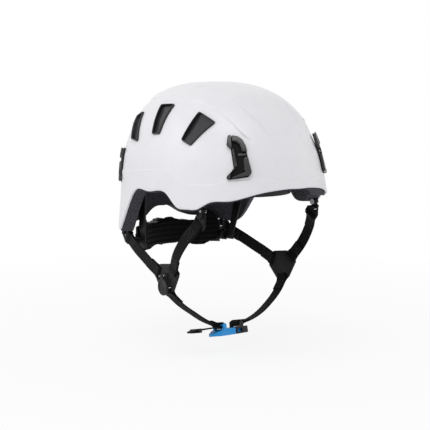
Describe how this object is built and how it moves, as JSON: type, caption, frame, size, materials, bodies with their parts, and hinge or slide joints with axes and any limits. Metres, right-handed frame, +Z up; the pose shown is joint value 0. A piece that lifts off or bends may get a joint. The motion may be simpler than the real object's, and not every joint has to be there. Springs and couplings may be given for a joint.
{
  "type": "vented safety helmet",
  "caption": "Vented climbing and work-at-height helmet with lamp clips, a ratchet nape cradle and a chin harness with side adjusters and a side-release buckle.",
  "frame": {"origin": "centre of the head seat, where the crown axis meets the height of the ear arches", "axes": "+Z up along the crown axis, -Y forward over the brim, +X to the wearer's left"},
  "size_m": [0.2118, 0.2822, 0.308],
  "materials": {
    "shell": "smooth satin gloss",
    "liner": "dark foam, fine bead grain",
    "trim": "fine moulded texture",
    "band": "satin",
    "pad": "woven pad cloth",
    "rack": "satin",
    "metal": "plain",
    "webbing": "woven webbing",
    "adjuster": "moulded",
    "blue": "satin blue"
  },
  "bodies": {
    "helmet": {"outer_shell": "shell", "impact_liner": "liner", "vent_tray_front_right": "trim", "vent_tray_front_left": "trim", "vent_tray_middle_right": "trim", "vent_tray_middle_left": "trim", "vent_tray_rear_right": "trim", "vent_tray_rear_left": "trim", "lamp_clip_front_right": "trim", "lamp_clip_front_left": "trim", "lamp_clip_rear_right": "trim", "lamp_clip_rear_left": "trim", "front_headband": "band", "forehead_pad": "pad", "crown_pad": "pad", "headband_plugs": "band", "arm_pivots": "band", "strap_bracket_front_right": "adjuster", "strap_bracket_front_left": "adjuster", "strap_bracket_rear_right": "adjuster", "strap_bracket_rear_left": "adjuster", "bracket_rivets": "metal"},
    "cradle_arms": {"side_arm_right": "band", "side_arm_left": "band"},
    "nape_cradle": {"nape_cradle": "band", "nape_pad": "pad", "band_strip_right": "rack", "band_strip_left": "rack", "ratchet_housing": "band", "ratchet_cover": "band", "cover_screws": "metal", "detent_spring": "metal"},
    "ratchet_knob": {"ratchet_knob": "trim", "drive_pinion": "rack", "knob_screw": "metal"},
    "rack_left": {"band_rack_left": "rack"},
    "rack_right": {"band_rack_right": "rack"},
    "harness_left": {"strap_link_front_left": "adjuster", "strap_link_rear_left": "adjuster", "front_strap_left": "webbing", "rear_strap_left": "webbing", "adjuster_frame_left": "adjuster", "lever_pin_left": "metal", "chin_strap_left": "webbing", "buckle_frame": "adjuster"},
    "harness_right": {"strap_link_front_right": "adjuster", "strap_link_rear_right": "adjuster", "front_strap_right": "webbing", "rear_strap_right": "webbing", "adjuster_frame_right": "adjuster", "lever_pin_right": "metal", "chin_strap_right": "webbing", "buckle_body": "blue", "strap_tail": "webbing", "strap_keeper": "adjuster"},
    "lever_left": {"adjuster_lever_left": "adjuster"},
    "lever_right": {"adjuster_lever_right": "adjuster"},
    "prong_front": {"buckle_prong_front": "blue"},
    "prong_rear": {"buckle_prong_rear": "blue"}
  },
  "joints": [
    {"name": "cradle_tilt", "type": "hinge", "parent": "helmet", "child": "cradle_arms", "pos_m": [0, 0.05, 0.004], "axis": [1, 0, 0], "range_deg": [-12, 3]},
    {"name": "cradle_slide", "type": "slide", "parent": "cradle_arms", "child": "nape_cradle", "axis": [0, 1, 0], "range_m": [-0.006, 0.004]},
    {"name": "knob_turn", "type": "hinge", "parent": "nape_cradle", "child": "ratchet_knob", "pos_m": [0, 0.1169, -0.06575], "axis": [0, 1, 0], "range_deg": [-38, 57.2]},
    {"name": "rack_left_slide", "type": "slide", "parent": "nape_cradle", "child": "rack_left", "axis": [1, 0, 0], "range_m": [-0.006, 0.004]},
    {"name": "rack_right_slide", "type": "slide", "parent": "nape_cradle", "child": "rack_right", "axis": [1, 0, 0], "range_m": [-0.004, 0.006]},
    {"name": "harness_right_swing", "type": "hinge", "parent": "helmet", "child": "harness_right", "pos_m": [-0.0874, -0.079, -0.023], "axis": [0.0598, 0.9771, -0.204], "range_deg": [0, 50]},
    {"name": "harness_left_swing", "type": "hinge", "parent": "helmet", "child": "harness_left", "pos_m": [0.0874, -0.079, -0.023], "axis": [0.0598, -0.9771, 0.204], "range_deg": [0, 50]},
    {"name": "lever_right_lift", "type": "hinge", "parent": "harness_right", "child": "lever_right", "pos_m": [-0.09559, -0.01368, -0.09817], "axis": [0.0598, 0.9771, -0.204], "range_deg": [0, 80]},
    {"name": "lever_left_lift", "type": "hinge", "parent": "harness_left", "child": "lever_left", "pos_m": [0.09559, -0.01368, -0.09817], "axis": [0.0598, -0.9771, 0.204], "range_deg": [0, 80]},
    {"name": "prong_front_squeeze", "type": "hinge", "parent": "harness_right", "child": "prong_front", "pos_m": [-0.0109, -0.03914, -0.17096], "axis": [0, 0.2044, 0.9789], "range_deg": [0, 5], "stiffness_Nm_per_rad": 0.05},
    {"name": "prong_rear_squeeze", "type": "hinge", "parent": "harness_right", "child": "prong_rear", "pos_m": [-0.0109, -0.02916, -0.17304], "axis": [0, -0.2044, -0.9789], "range_deg": [0, 5], "stiffness_Nm_per_rad": 0.05}
  ],
  "couplings": [
    {"joint": "cradle_slide", "follows": "knob_turn", "m_per_rad": -0.006},
    {"joint": "rack_left_slide", "follows": "knob_turn", "m_per_rad": -0.006},
    {"joint": "rack_right_slide", "follows": "knob_turn", "m_per_rad": 0.006}
  ]
}
